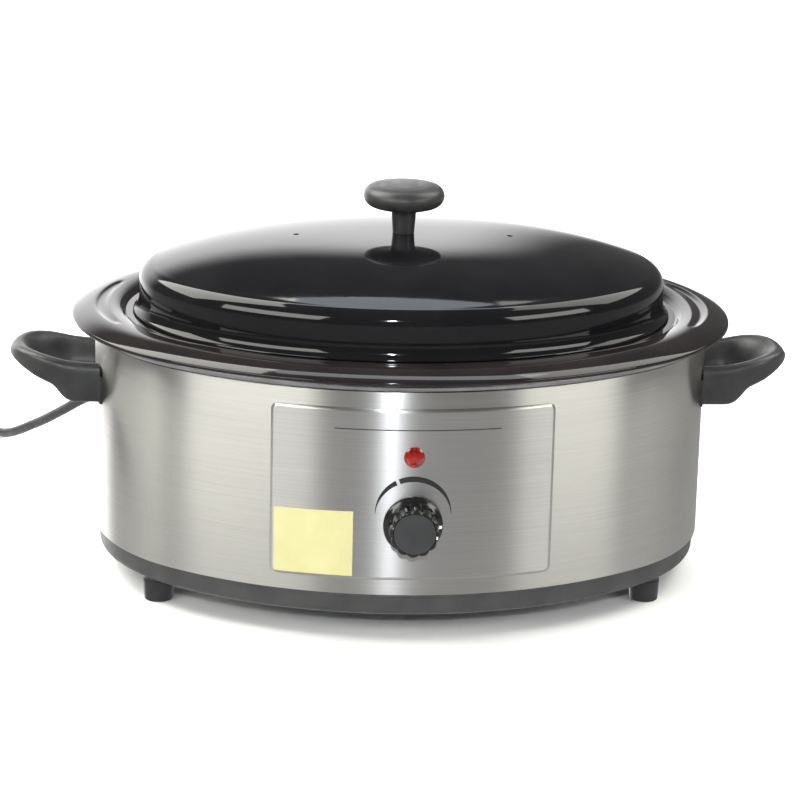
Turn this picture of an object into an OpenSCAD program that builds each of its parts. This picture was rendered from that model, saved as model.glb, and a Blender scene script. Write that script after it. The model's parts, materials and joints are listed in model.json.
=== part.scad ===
// Oval electric stone heater: a roaster-style drum of brushed steel with a
// lift-out enamelled pan, a domed lid, a thermostat knob and a mains lead.
// Millimetres, +Z up. The origin is the centre of the oval on the worktop,
// +X runs to the right along the long axis, and the controls face -Y.

/* [Body] */
// Length of the steel wrap
body_l = 350; // [340:1:360]
// Width of the steel wrap
body_w = 266; // [262:1:270]
// Height of the base's underside above the worktop
foot_h = 14; // [12:1:16]
// Height of the dark band of base that shows below the wrap
base_h = 13; // [11:1:15]
// Height of the steel wrap
wrap_h = 116; // [114:1:118]

/* [Pan and lid] */
// Depth of the pan below its lid ledge
pan_depth = 108; // [100:1:110]
// How far the pan's flange reaches outside the wrap
flange_reach = 13.6; // [12:0.2:15]
// Length of the lid across its wall
lid_l = 300; // [296:1:302]
// Width of the lid across its wall
lid_w = 215; // [211:1:217]
// Height of the lid above its rim
lid_h = 45.5; // [42:0.5:50]
// Diameter of the lid knob
lid_knob_d = 46; // [40:1:50]

/* [Controls] */
// Width of the control plate
plate_w = 154; // [140:1:160]
// Height of the control plate
plate_h = 97; // [90:1:100]
// Height of the thermostat's axis above the worktop
dial_z = 68.5; // [68:0.5:74]
// Height of the pilot lamp's axis above the worktop
lamp_z = 106.5; // [104:0.5:112]
// Diameter of the thermostat knob's skirt
dial_d = 32.5; // [31:0.5:36]

/* [Handles] */
// How far a handle reaches past the wrap
handle_reach = 48.5; // [46:0.5:50]
// Width of a handle's loop
handle_w = 62; // [58:1:66]
// Height of the handle screws above the worktop
handle_screw_z = 115; // [112:0.5:118]

/* [Lead] */
// Diameter of the mains lead
cord_d = 6; // [6]
// Height of the lead's outlet above the worktop
outlet_z = 72; // [72]

/* [Hidden] */
$fn = 120;

enamel = [0.10, 0.09, 0.10];
steel = [0.75, 0.74, 0.72];
zinc = [0.62, 0.63, 0.65];
phenolic = [0.16, 0.16, 0.16];
brass = [0.72, 0.60, 0.32];
lead_grey = [0.20, 0.20, 0.21];

// --- the oval: two end arcs and two flatter side arcs that meet tangentially ---
// The centres of neighbouring arcs are the sharp corners of a 3-4-5 triangle.
half_l = body_l / 2;
half_w = body_w / 2;
unit_345 = (half_l - half_w) / 2;
end_x = 3 * unit_345;
side_y = 4 * unit_345;
end_r = half_l - end_x;
side_r = end_r + 5 * unit_345;
join_a = atan2(4, 3);
wedge = 80;

// --- heights ---
wrap_z = foot_h + base_h;
wrap_top = wrap_z + wrap_h;
seat_z = wrap_top + 7.7;
rest_gap = 0.1;
sheet_t = 1.2;
ledge_z = seat_z + rest_gap + sheet_t;
pan_floor = ledge_z - pan_depth;
liner_floor = pan_floor - 6;
lid_rim_z = ledge_z + rest_gap;

// --- walls, as distances outside (+) or inside (-) the wrap's outline ---
wrap_t = 0.8;
pan_wall = -27;
liner_wall = -22.5;
liner_t = 1;
liner_skin = liner_wall + liner_t;
base_wall = -2;

// --- controls ---
plate_t = 1.2;
plate_z = 36;
plate_face = half_w + plate_t;
shaft_d = 6;
shaft_fit = 0.05;
dial_gap = 0.8;
skirt_h = 5;
grip_r = 13.3;
grip_top = 17.4;
cap_r = 11.4;

// --- handles ---
gasket_t = 1;
handle_foot_z = 104;
handle_end_r = handle_w / 2;
handle_hole_r = 15;
handle_tip = half_l + handle_reach;
leg_y = (handle_end_r + handle_hole_r) / 2;
// Height where the finger hole starts to open out like a dish
dish_z = 119;
screw_r = 2;

// --- feet, on the end arcs' radius ---
foot_x = 138;
foot_y = 64;
foot_top_r = 8.6;
foot_bottom_r = 8;

// --- lead: leaves the rear of the left end, 40 degrees round from the long axis ---
outlet_a = 140;
outlet_dir = [cos(outlet_a), sin(outlet_a), 0];
outlet_wall = [-end_x, 0, outlet_z] + end_r * outlet_dir;
relief_l = 26;
cord_r = cord_d / 2;
cord_route = [
    [-169, 89, 72], [-176.5, 97.5, 70.5], [-184, 107.5, 66], [-191, 118.5, 59.5],
    [-198, 130.5, 52], [-205.5, 144, 44], [-213.5, 159, 35.5], [-222, 175.5, 27],
    [-230.5, 194, 18], [-238, 212, 10.5], [-244, 226, 6], [-249.3, 239, 3.7],
    [-254.4, 253, 3], [-259.2, 266.7, 3]
];
coil_centre = [-294, 254, 0];
coil_r = 34;
coil_h = 12.2;
coil_w = 12.4;
tail_route = [
    [-328, 254, 9], [-328.2, 245, 9.3], [-329.2, 236, 10.8], [-330.5, 227, 12.7], [-331, 215.2, 13.5]
];
plug_l = 30;
plug_at = [-331, 206, 13.5];

module oval(off = 0) {
    for (s = [-1, 1]) {
        translate([s * end_x, 0]) circle(end_r + off);
        intersection() {
            translate([0, -s * side_y]) circle(side_r + off);
            polygon([
                [0, -s * side_y],
                [3 * wedge, s * (4 * wedge - side_y)],
                [-3 * wedge, s * (4 * wedge - side_y)]
            ]);
        }
    }
}

// A ring that follows the oval between two distances from its outline.
module oval_ring(inner, outer, z0, z1) {
    translate([0, 0, z0]) linear_extrude(z1 - z0) difference() {
        oval(outer);
        oval(inner);
    }
}

// The right-hand end arc from one angle to another, and the rear side arc.
module end_arc(a0, a1) {
    translate([end_x, 0, 0]) rotate_extrude(angle = a1 - a0, start = a0)
        translate([end_r, 0]) children();
}

module side_arc() {
    translate([0, -side_y, 0]) rotate_extrude(angle = 180 - 2 * join_a, start = join_a)
        translate([side_r, 0]) children();
}

// Carries a 2D profile round the oval: x is the distance outside the outline, y the height.
module oval_sweep() {
    for (turn = [0, 180]) rotate(turn) {
        end_arc(-join_a, join_a) children();
        side_arc() children();
    }
}

// Points of an arc, and the outline of a sheet of thickness t to the left of a path.
function arc(c, r, a0, a1, n) =
    [for (i = [0:n]) c + r * [cos(a0 + (a1 - a0) * i / n), sin(a0 + (a1 - a0) * i / n)]];
function left_of(a, b) = [a.y - b.y, b.x - a.x] / norm(b - a);
function corner(p, i) =
    let (
        last = len(p) - 1,
        before = left_of(p[max(i - 1, 0)], p[max(i, 1)]),
        after = left_of(p[min(i, last - 1)], p[min(i + 1, last)])
    ) (before + after) / (1 + before * after);
function sheet(p, t) = concat(p, [for (i = [len(p) - 1:-1:0]) p[i] + t * corner(p, i)]);

// Turns a shape built along +Z so that it points out of the front, with z = 0 on the plate.
module on_front(z) {
    translate([0, -plate_face, z]) rotate([90, 0, 0]) children();
}

module rounded_rect(w, h, r) {
    for (x = [-1, 1], y = [-1, 1]) translate([x * (w / 2 - r), y * (h / 2 - r)]) circle(r);
    square([w - 2 * r, h], center = true);
    square([w, h - 2 * r], center = true);
}

// A pan-head screw that points down from z = 0, with its head above.
module screw(r, length, head_r, head_h) {
    translate([0, 0, -length]) cylinder(r = r, h = length);
    difference() {
        cylinder(r1 = head_r, r2 = head_r * 0.8, h = head_h);
        for (a = [0, 90]) rotate(a) translate([0, 0, head_h]) cube([head_r, 0.8, head_h], center = true);
    }
}

// --- drum ---
module outer_wrap() color(steel) difference() {
    union() {
        oval_ring(-wrap_t, 0, wrap_z, wrap_top);
        intersection() {
            oval_ring(-wrap_t, 0.6, wrap_z + 0.5, wrap_top - 1);
            translate([-7, 0, 0]) cube([14, 200, 200]);
        }
    }
    on_front(dial_z) translate([0, 0, -10]) cylinder(r = 5.2, h = 20);
    on_front(lamp_z) translate([0, 0, -10]) cylinder(r = 4.2, h = 20);
    thermostat_screw_places() translate([0, 0, -10]) cylinder(r = 1.7, h = 20);
    handle_screw_places() cylinder(r = 2.2, h = 20, center = true);
    outlet_place() translate([0, 0, -10]) cylinder(r = 6.2, h = 20);
}

module control_plate() color(steel) difference() {
    intersection() {
        oval_ring(0, plate_t, plate_z, plate_z + plate_h);
        translate([0, 0, plate_z + plate_h / 2]) rotate([90, 0, 0])
            linear_extrude(200) rounded_rect(plate_w, plate_h, 8);
    }
    on_front(dial_z) translate([0, 0, -10]) cylinder(r = 5.2, h = 20);
    on_front(lamp_z) translate([0, 0, -10]) cylinder(r = 4.2, h = 20);
    thermostat_screw_places() translate([0, 0, -10]) cylinder(r = 1.7, h = 20);
}

module base_pan() color([0.22, 0.22, 0.22]) difference() {
    union() {
        oval_sweep() {
            polygon(sheet(concat(
                [[-12, foot_h]],
                arc([base_wall - 4, foot_h + 4], 4, -90, 0, 6),
                [[base_wall, wrap_z + 6]]
            ), 1));
            polygon([
                [base_wall - 0.5, wrap_z - 1.2], [-0.4, wrap_z - 1.2],
                [-0.4, wrap_z], [base_wall - 0.5, wrap_z]
            ]);
        }
        translate([0, 0, foot_h]) linear_extrude(1) oval(-11);
    }
    foot_places() translate([0, 0, foot_h - 1]) cylinder(r = 2.3, h = 4);
    translate([0, 0, foot_h - 1]) cylinder(r = 3.3, h = 4);
    translate([earth_spot.x, earth_spot.y, foot_h - 1]) cylinder(r = 1.7, h = 4);
    for (x = [-84:24:84], y = [-34, 34]) translate([x, y, foot_h - 1]) linear_extrude(4) vent_slot();
}

module vent_slot() {
    for (y = [-9, 9]) translate([0, y]) circle(2.2);
    square([4.4, 18], center = true);
}

module liner() color(zinc) difference() {
    union() {
        oval_sweep() {
            polygon(sheet(concat(
                arc([0.9, wrap_top + 2.3], 2.1, -150, 70, 8),
                [[-5, seat_z], [-20, seat_z], [liner_wall, seat_z - 2.5]],
                arc([liner_wall - 20, liner_floor + 20], 20, 0, -90, 6),
                [[-45, liner_floor]]
            ), liner_t));
        }
        translate([0, 0, liner_floor - liner_t]) linear_extrude(liner_t) oval(-44);
    }
    translate([0, 0, liner_floor - 5]) cylinder(r = 3, h = 10);
}

// The flange is a crowned arc with a rolled edge. Over each end of the oval a shallow
// crescent is pressed into its crown.
crown_r = 32;
crown_edge_a = 58;
edge_r = 1.4;
crown_c = [flange_reach - edge_r - (crown_r - edge_r) * cos(crown_edge_a), ledge_z + 4.1 - crown_r];
channel_a = 26;
channel_depth = 1.6;

function crown_arc(a0, a1, n) = arc(crown_c, crown_r, a0, a1, n);
function crown_path(pressed) = concat(
    arc(crown_c + (crown_r - edge_r) * [cos(crown_edge_a), sin(crown_edge_a)], edge_r,
        -110, crown_edge_a - 20, 5),
    pressed
        ? concat(
            crown_arc(crown_edge_a, 82, 3),
            [[crown_c.x + 2.6, crown_c.y + crown_r - channel_depth]],
            [[crown_c.x - 2.6, crown_c.y + crown_r - channel_depth]],
            crown_arc(98, 109, 2))
        : crown_arc(crown_edge_a, 109, 8)
);

module pan_profile(pressed) polygon(sheet(concat(
    crown_path(pressed),
    [[-16.4, ledge_z + 0.7], [-17.4, ledge_z], [-25.5, ledge_z], [pan_wall, ledge_z - 1.5]],
    arc([pan_wall - 22, pan_floor + 22], 22, 0, -90, 6),
    [[pan_wall - 23, pan_floor]]
), sheet_t));

module insert_pan() color(enamel) {
    for (turn = [0, 180]) rotate(turn) {
        end_arc(-join_a, -channel_a) pan_profile(false);
        end_arc(-channel_a, channel_a) pan_profile(true);
        end_arc(channel_a, join_a) pan_profile(false);
        side_arc() pan_profile(false);
    }
    translate([0, 0, pan_floor - sheet_t]) linear_extrude(sheet_t) oval(pan_wall - 22.5);
}

// --- lid ---
lid_top = lid_rim_z + lid_h;
lid_shoulder_r = 10.4;
lid_wall_z = lid_rim_z + 18;
lid_half = lid_l / 2;
dome_r = lid_half - lid_shoulder_r * (1 - cos(78));
dome_z = lid_wall_z + lid_shoulder_r * sin(78);
lid_t = 1.2;
washer_z = lid_top - lid_t - 1.05;
vent_x = 61;

function dome_point(s) = [s * dome_r, dome_z + (lid_top - dome_z) * (1 - pow(s, 2.94))];

// The lid's section from its rolled rim, over the shoulder and the dome, to the screw hole.
lid_section = sheet(concat(
    [[lid_half + 3.6, lid_rim_z], [lid_half + 3.6, lid_rim_z + 1.4]],
    [[lid_half + 2, lid_rim_z + 1.9], [lid_half + 0.5, lid_rim_z + 3.2]],
    arc([lid_half - lid_shoulder_r, lid_wall_z], lid_shoulder_r, 0, 78, 5),
    [for (s = [0.92, 0.83, 0.73, 0.62, 0.5, 0.37, 0.23, 0.1]) dome_point(s)],
    [[3.2, lid_top]]
), lid_t);
lid_sides = 60;

// The section carried round an ellipse, so the lid is domed both ways.
module lid_shell() color(enamel) difference() {
    n = len(lid_section);
    polyhedron(
        points = [for (i = [0:lid_sides - 1], p = lid_section)
            let (a = 360 * i / lid_sides)
            [p.x * cos(a), p.x * sin(a) * lid_w / lid_l, p.y]],
        faces = [for (i = [0:lid_sides - 1], k = [0:n - 1])
            let (j = (i + 1) % lid_sides, m = (k + 1) % n)
            [i * n + k, i * n + m, j * n + m, j * n + k]]
    );
    for (s = [-1, 1]) translate([s * vent_x, 0, lid_top - 12]) cylinder(r = 2, h = 20);
}

knob_widest = lid_top + 21.5;

module lid_knob() color(phenolic) difference() {
    rotate_extrude() polygon(concat(
        [[0, lid_top], [6.5, lid_top], [6.3, lid_top + 1.5], [7, lid_top + 12]],
        [[8.5, lid_top + 13.5], [15, lid_top + 14.8]],
        arc([lid_knob_d / 2 - 6, knob_widest], 6, -66, 66, 6),
        [[10, lid_top + 29.7], [0, lid_top + 30.4]]
    ));
    translate([0, 0, lid_top - 1]) cylinder(r = 2, h = 19);
}

module lid_knob_screw() color(zinc) translate([0, 0, washer_z]) rotate([180, 0, 0])
    screw(1.95, 15, 3.8, 2.4);

module lid_knob_washer() color(zinc) translate([0, 0, washer_z]) difference() {
    cylinder(r = 7, h = 1);
    translate([0, 0, -1]) cylinder(r = 2.1, h = 3);
}

// --- thermostat and its knob ---
module thermostat_screw_places() {
    for (s = [-1, 1]) on_front(dial_z) translate([s * 10.5, 0, 0]) children();
}

module shaft_section(r) {
    intersection() {
        circle(r);
        translate([-r, -r]) square([2 * r, 1.75 * r]);
    }
}

module control_knob() color([0.05, 0.05, 0.05]) on_front(dial_z) difference() {
    union() {
        translate([0, 0, dial_gap]) cylinder(r = dial_d / 2, h = 2);
        translate([0, 0, dial_gap + 2]) cylinder(r1 = dial_d / 2, r2 = dial_d / 2 - 1.6, h = skirt_h - 2);
        cylinder(r = grip_r, h = grip_top);
    }
    translate([0, 0, -1]) difference() {
        cylinder(r = 14.2, h = 4.4);
        translate([0, 0, -1]) cylinder(r = 5.2, h = 7);
    }
    translate([0, 0, -1]) cylinder(r = 5.3, h = 1 + dial_gap);
    for (i = [0:11]) rotate(15 + i * 30) translate([grip_r + 1.1, 0, dial_gap + skirt_h])
        cylinder(r = 1.9, h = 30);
    translate([0, 0, grip_top - 0.8]) cylinder(r = cap_r, h = 2);
    translate([0, 0, -1]) linear_extrude(15) shaft_section(shaft_d / 2 + shaft_fit);
    translate([0, 0, 0]) knob_pointer_shape(0);
}

// The pointer is a white inlay in the skirt's sloping top, on the knob's right-hand side.
module knob_pointer_shape(shrink) {
    rotate(-4) translate([13.4 + shrink, -0.9 + shrink, dial_gap + skirt_h - 1])
        cube([1.2 - 2 * shrink, 1.8 - 2 * shrink, 1]);
}

module knob_pointer() color("white") on_front(dial_z) knob_pointer_shape(0.02);

module knob_cap() color([0.2, 0.2, 0.2]) on_front(dial_z)
    translate([0, 0, grip_top - 0.8]) cylinder(r = cap_r - 0.05, h = 1.2);

module thermostat_shaft() color(brass) on_front(dial_z) {
    translate([0, 0, -1]) linear_extrude(14.6) shaft_section(shaft_d / 2);
    translate([0, 0, -12]) cylinder(r = shaft_d / 2, h = 11);
}

module thermostat_body() color([0.82, 0.78, 0.68]) on_front(dial_z) difference() {
    union() {
        translate([0, 0, -3.9]) cube([40, 26, 1], center = true);
        translate([0, 0, -10.7]) cube([32, 26, 12.6], center = true);
        translate([0, 0, -4.4]) cylinder(r = 5, h = 4.4);
    }
    translate([0, 0, -12.1]) cylinder(r = shaft_d / 2 + shaft_fit, h = 20);
    for (s = [-1, 1]) translate([s * 10.5, 0, -9]) cylinder(r = 1.55, h = 12);
}

module thermostat_screws() color(zinc) thermostat_screw_places() screw(1.5, 8, 2.9, 1.7);

// The bracket clears the band's clamp screws below it.
module thermostat_bracket() color(zinc) on_front(dial_z + 2) {
    translate([-7, -8, -19.4]) cube([14, 16, 1]);
    translate([-7, 7, -21.6]) cube([14, 1, 2.2]);
    translate([-7, -8, -18.4]) cube([14, 3, 1.4]);
}

// --- pilot lamp ---
module pilot_lens() color([0.75, 0.1, 0.08]) on_front(lamp_z) {
    cylinder(r = 5.6, h = 1);
    translate([0, 0, 1]) cylinder(r1 = 5.1, r2 = 4, h = 1.8, $fn = 8);
    translate([0, 0, 2.8]) cylinder(r1 = 4, r2 = 1.6, h = 1.5, $fn = 8);
    translate([0, 0, -1]) cylinder(r = 4.1, h = 1);
}

module lamp_body() color([0.9, 0.9, 0.86]) on_front(lamp_z) translate([0, 0, -18]) {
    cylinder(r = 4.1, h = 17);
    for (s = [-1, 1]) translate([s * 1.8 - 0.4, -1.2, -2.6]) cube([0.8, 2.4, 2.6]);
}

module lamp_clip() color(zinc) on_front(lamp_z) translate([0, 0, -3.3]) difference() {
    cylinder(r = 7.5, h = 0.8);
    translate([0, 0, -1]) cylinder(r = 4.15, h = 3);
}

// --- heater ---
band_z = 58;
band_h = 42;
band_gap = 46;
clamp_y = -114.6;
clamp_heights = [band_z + 2.5, band_z + band_h - 5];

// Places something on a side arc at a given x, with -Y pointing out of the drum.
module on_side(x, off, z) {
    translate([x, side_y - sqrt(pow(side_r + off, 2) - x * x), z])
        rotate(asin(x / (side_r + off))) children();
}

module heating_band() color([0.68, 0.66, 0.60]) difference() {
    union() {
        difference() {
            oval_ring(liner_skin + 0.1, liner_skin + 2.4, band_z, band_z + band_h);
            translate([-band_gap, -200, 0]) cube([2 * band_gap, 200, 200]);
        }
        for (s = [-1, 1]) translate([s * (band_gap + 0.6), clamp_y + 1.9, band_z + band_h / 2])
            cube([1.2, 9.4, band_h], center = true);
    }
    for (z = clamp_heights) translate([-band_gap - 5, clamp_y, z]) rotate([0, 90, 0])
        cylinder(r = 1.7, h = 2 * band_gap + 10);
}

module band_terminals() color(brass) for (s = [-1, 1], z = [band_z + 8, band_z + 26])
    on_side(s * 54, liner_skin + 2.4, z) translate([0, -2.5, 3]) cube([0.9, 5, 6], center = true);

module band_clamp_screws() color(zinc) for (z = clamp_heights)
    translate([-band_gap - 3.4, clamp_y, z]) rotate([0, 90, 0]) {
        cylinder(r = 1.6, h = 2 * band_gap + 6.8);
        for (x = [0, 2 * band_gap + 4.6]) translate([0, 0, x]) cylinder(r = 3, h = 2.2);
    }

module insulation_blanket() color([0.88, 0.85, 0.74]) difference() {
    oval_ring(liner_skin + 3, -9, 45, 138);
    translate([-62, -200, 40]) cube([124, 200, 92]);
    outlet_place() translate([-12, -12, -40]) cube([50, 24, 60]);
}

module heat_shield() color([0.78, 0.79, 0.80]) difference() {
    translate([0, 0, 24]) linear_extrude(0.8) oval(-30);
    translate([0, 0, 20]) cylinder(r = 3.3, h = 10);
}

// The fuse lies along the liner above the band, in a clip that is spot-welded on.
fuse_x = 46;
fuse_z = 112;
module fuse_place() {
    on_side(fuse_x, liner_skin + 3.4, fuse_z) rotate([0, 90, 0]) children();
}

module thermal_fuse() color([0.85, 0.83, 0.78]) fuse_place() {
    translate([0, 0, -7]) cylinder(r = 2, h = 14);
    translate([0, 0, -14]) cylinder(r = 0.6, h = 28);
}

module fuse_clip() color(zinc) fuse_place() difference() {
    union() {
        translate([0, 0, -2]) cylinder(r = 2.8, h = 4);
        translate([-8, 2.3, -2]) cube([8, 0.7, 4]);
    }
    translate([0, 0, -3]) cylinder(r = 2.05, h = 6);
}

// --- wiring, carried round the gap below the insulation ---
wire_r = 1.3;
connector_a = 253;
earth_spot = [-142, 27];

// A wire from the outlet round the left end to the front, then up to a height.
module gap_wire(off, z, front_a, top) {
    r_end = end_r + off;
    r_side = side_r + off;
    start = [-end_x, 0, 0] + r_end * outlet_dir;
    translate([-end_x, 0, z]) rotate_extrude(angle = 180 + join_a - outlet_a, start = outlet_a)
        translate([r_end, 0]) circle(wire_r);
    translate([0, side_y, z])
        rotate_extrude(angle = front_a - 180 - join_a, start = 180 + join_a)
        translate([r_side, 0]) circle(wire_r);
    finish = [r_side * cos(front_a), side_y + r_side * sin(front_a), 0];
    for (p = [[start, outlet_z], [finish, top]])
        translate([p[0].x, p[0].y, z - 1.1 * wire_r]) cylinder(r = 1.1 * wire_r, h = p[1] - z + wire_r);
}

module lead_wires() color([0.15, 0.15, 0.16]) {
    gap_wire(-12, 36, 266, dial_z - 13);
    gap_wire(-16, 40, connector_a, band_z + 6);
}

module wire_connector() color([0.8, 0.75, 0.6]) translate([0, side_y, band_z + 6])
    rotate(connector_a) translate([side_r - 16, 0, 0]) cylinder(r = 2.6, h = 12);

module earth_wire() color([0.2, 0.55, 0.25]) {
    foot = [earth_spot.x, earth_spot.y, foot_h + 4];
    top = [-end_x, 0, outlet_z] + (end_r - 8) * outlet_dir;
    translate(top) sphere(wire_r);
    translate([top.x, top.y, foot.z]) cylinder(r = wire_r, h = top.z - foot.z);
    translate([top.x, top.y, foot.z]) sphere(wire_r);
    reach = norm([foot.x - top.x, foot.y - top.y]);
    translate([top.x, top.y, foot.z]) rotate(atan2(foot.y - top.y, foot.x - top.x))
        rotate([0, 90, 0]) cylinder(r = wire_r, h = reach - 3.2);
}

module earth_screw() color(brass) translate([earth_spot.x, earth_spot.y, foot_h + 1]) difference() {
    union() {
        translate([0, 0, -3]) cylinder(r = 1.65, h = 5);
        cylinder(r = 3.4, h = 1.4);
        translate([0, 0, 1.4]) cylinder(r1 = 3, r2 = 2.4, h = 3);
    }
    translate([0, 0, 4.4]) cube([8, 0.8, 1.6], center = true);
}

module tie_stud() color(zinc) translate([0, 0, 9]) {
    cylinder(r = 2.9, h = liner_floor - 9);
    translate([0, 0, liner_floor - 9]) cylinder(r = 8, h = 1.2);
}

module tie_nut() color(zinc) translate([0, 0, foot_h - 5]) difference() {
    union() {
        translate([0, 0, 3.8]) cylinder(r = 9, h = 1.2);
        cylinder(r = 5.8, h = 3.8, $fn = 6);
    }
    translate([0, 0, -1]) cylinder(r = 2.95, h = 8);
}

// --- handles ---
module handle_screw_places() {
    for (s = [-1, 1], y = [-leg_y, leg_y])
        translate([s * (half_l - 4.6), y, handle_screw_z]) rotate([0, s * 90, 0]) children();
}

// A loop in plan and a swept-up profile from the side, cut to the wrap's curve.
module handle() difference() {
    intersection() {
        translate([0, 0, 60]) linear_extrude(120) difference() {
            union() {
                translate([handle_tip - handle_end_r, 0]) circle(handle_end_r);
                translate([half_l - 20, -handle_end_r])
                    square([handle_reach + 20 - handle_end_r, handle_w]);
            }
            translate([handle_tip - 21.5 - handle_hole_r, 0]) circle(handle_hole_r);
            translate([half_l - 30, -handle_hole_r])
                square([handle_reach + 30 - 21.5 - handle_hole_r, 2 * handle_hole_r]);
        }
        translate([half_l, 0, handle_foot_z]) rotate([90, 0, 0]) linear_extrude(100, center = true)
            polygon([
                [-20, 0], [10, 0], [13.5, 0.5], [16.5, 2.2], [19, 4.8], [21, 7.6], [23, 9.9],
                [27, 11.6], [33.5, 14], [37.5, 15.9], [41.5, 17.8], [45.5, 19.8], [47.8, 21.6],
                [48.5, 23.4], [48.2, 24.9], [47.2, 26.5], [45, 28], [42, 28.9], [38, 29.1],
                [33, 28.5], [28, 27.4], [23, 26.2], [15, 24.4], [6, 23.2], [-20, 22.6]
            ]);
    }
    translate([0, 0, 60]) linear_extrude(120) oval(gasket_t);
    translate([handle_tip - 21.5 - handle_hole_r, 0, dish_z]) {
        cylinder(r1 = handle_hole_r - 0.4, r2 = handle_hole_r + 12, h = 14);
        rotate([90, 0, -90]) linear_extrude(30) polygon([
            [0.4 - handle_hole_r, 0], [handle_hole_r - 0.4, 0],
            [handle_hole_r + 12, 14], [-handle_hole_r - 12, 14]
        ]);
    }
    for (y = [-leg_y, leg_y]) translate([half_l - 10, y, handle_screw_z]) rotate([0, 90, 0]) {
        cylinder(r = 3, h = 22);
    }
}

module right_handle() color(phenolic) handle();
module left_handle() color(phenolic) mirror([1, 0, 0]) handle();

module handle_gaskets() color([0.05, 0.05, 0.05]) difference() {
    intersection() {
        oval_ring(0, gasket_t - 0.02, handle_foot_z, handle_foot_z + 16);
        for (s = [-1, 1], y = [-leg_y, leg_y])
            translate([s * half_l, y, 110]) cube([60, handle_end_r - handle_hole_r, 60], center = true);
    }
    handle_screw_places() cylinder(r = 2.2, h = 20, center = true);
}

module handle_screws() color(zinc) handle_screw_places() rotate([180, 0, 0]) screw(screw_r, 15, 3.6, 2.2);

module handle_inserts() color(brass) for (s = [-1, 1], y = [-leg_y, leg_y])
    translate([s * (half_l + 1.6), y, handle_screw_z]) rotate([0, s * 90, 0]) difference() {
        cylinder(r = 2.95, h = 9.8);
        translate([0, 0, -1]) cylinder(r = screw_r + 0.05, h = 12);
    }

// --- feet ---
module foot_places() {
    for (x = [-foot_x, foot_x], y = [-foot_y, foot_y]) translate([x, y, 0]) children();
}

module feet() color(phenolic) foot_places() difference() {
    union() {
        cylinder(r1 = foot_bottom_r, r2 = foot_top_r, h = foot_h - 2);
        translate([0, 0, foot_h - 2]) cylinder(r = foot_top_r - 0.6, h = 2);
    }
    translate([0, 0, -1]) cylinder(r = 4.2, h = 7);
    cylinder(r = 2.1, h = 30);
}

module foot_screws() color(zinc) foot_places() translate([0, 0, 6]) rotate([180, 0, 0])
    screw(1.95, 13, 3.8, 2.2);

// --- mains lead ---
module outlet_place() {
    translate(outlet_wall) rotate(outlet_a) rotate([0, 90, 0]) children();
}

module strain_relief() color([0.08, 0.08, 0.08]) outlet_place() difference() {
    union() {
        translate([0, 0, -4]) cylinder(r = 6, h = 4);
        translate([0, 0, -5]) cylinder(r = 7.4, h = 3.4);
        translate([0, 0, 0.2]) cylinder(r = 8, h = 2.8);
        translate([0, 0, 3]) cylinder(r1 = 5.6, r2 = 4.2, h = relief_l - 3);
        translate([0, 0, -1]) cylinder(r = 5.4, h = 5);
    }
    translate([0, 0, -7]) cylinder(r = cord_r, h = 50);
}

function unit(v) = v / norm(v);

// A centreline is a smooth curve through its route's points, sampled evenly.
function bend(p, i, t) =
    let (
        a = p[max(i - 1, 0)], b = p[i], c = p[i + 1], d = p[min(i + 2, len(p) - 1)]
    ) 0.5 * (2 * b + (c - a) * t + (2 * a - 5 * b + 4 * c - d) * t * t
        + (3 * b - a - 3 * c + d) * t * t * t);
function smooth(route) = concat(
    [for (i = [0:len(route) - 2], t = [0, 0.5]) bend(route, i, t)],
    [route[len(route) - 1]]
);
cord_sides = 10;

function ring_at(p, i) =
    let (
        last = len(p) - 1,
        along = unit(p[min(i + 1, last)] - p[max(i - 1, 0)]),
        side = unit(cross(along, [0, 0, 1])),
        up = cross(side, along)
    ) [for (k = [0:cord_sides - 1])
        p[i] + cord_r * (cos(k * 360 / cord_sides) * side + sin(k * 360 / cord_sides) * up)];

module tube(path) {
    n = len(path);
    polyhedron(
        points = [for (i = [0:n - 1]) each ring_at(path, i)],
        faces = concat(
            [[for (k = [cord_sides - 1:-1:0]) k]],
            [for (i = [0:n - 2], k = [0:cord_sides - 1])
                let (a = i * cord_sides + k, b = i * cord_sides + (k + 1) % cord_sides)
                [a, b, b + cord_sides, a + cord_sides]],
            [[for (k = [0:cord_sides - 1]) (n - 1) * cord_sides + k]]
        )
    );
}

module power_cord() color(lead_grey) tube(concat(
    [outlet_wall - 6.5 * outlet_dir, outlet_wall + (relief_l - 2) * outlet_dir],
    smooth(cord_route)
));

module cord_tail() color(lead_grey) tube(smooth(tail_route));

module cord_coil() color(lead_grey) translate(coil_centre) rotate_extrude()
    translate([coil_r, coil_h / 2]) square([coil_w, coil_h], center = true);

// A band over the top of the coil, open below where the coil lies on the worktop.
module cord_tie() color([0.06, 0.06, 0.06])
    translate([coil_centre.x, coil_centre.y + coil_r, 0]) rotate([90, 0, 90])
        linear_extrude(8, center = true) difference() {
            translate([-coil_w / 2 - 1.8, 0]) square([coil_w + 3.6, coil_h + 1.4]);
            translate([-coil_w / 2 - 0.6, -1]) square([coil_w + 1.2, coil_h + 1.2]);
        }

// The plug lies on its side beside the coil; local +Z runs from the lead to the pins.
module plug_place() {
    translate(plug_at) rotate([90, 0, 0]) children();
}

module plug_body() color([0.07, 0.07, 0.07]) plug_place() difference() {
    union() {
        linear_extrude(plug_l) rounded_rect(28, 24, 7);
        translate([0, 0, plug_l]) linear_extrude(3) rounded_rect(31, 27, 8);
        translate([0, 0, -20]) cylinder(r1 = 4.6, r2 = 7.5, h = 20);
    }
    translate([0, 0, -21]) cylinder(r = cord_r, h = 12);
}

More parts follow.
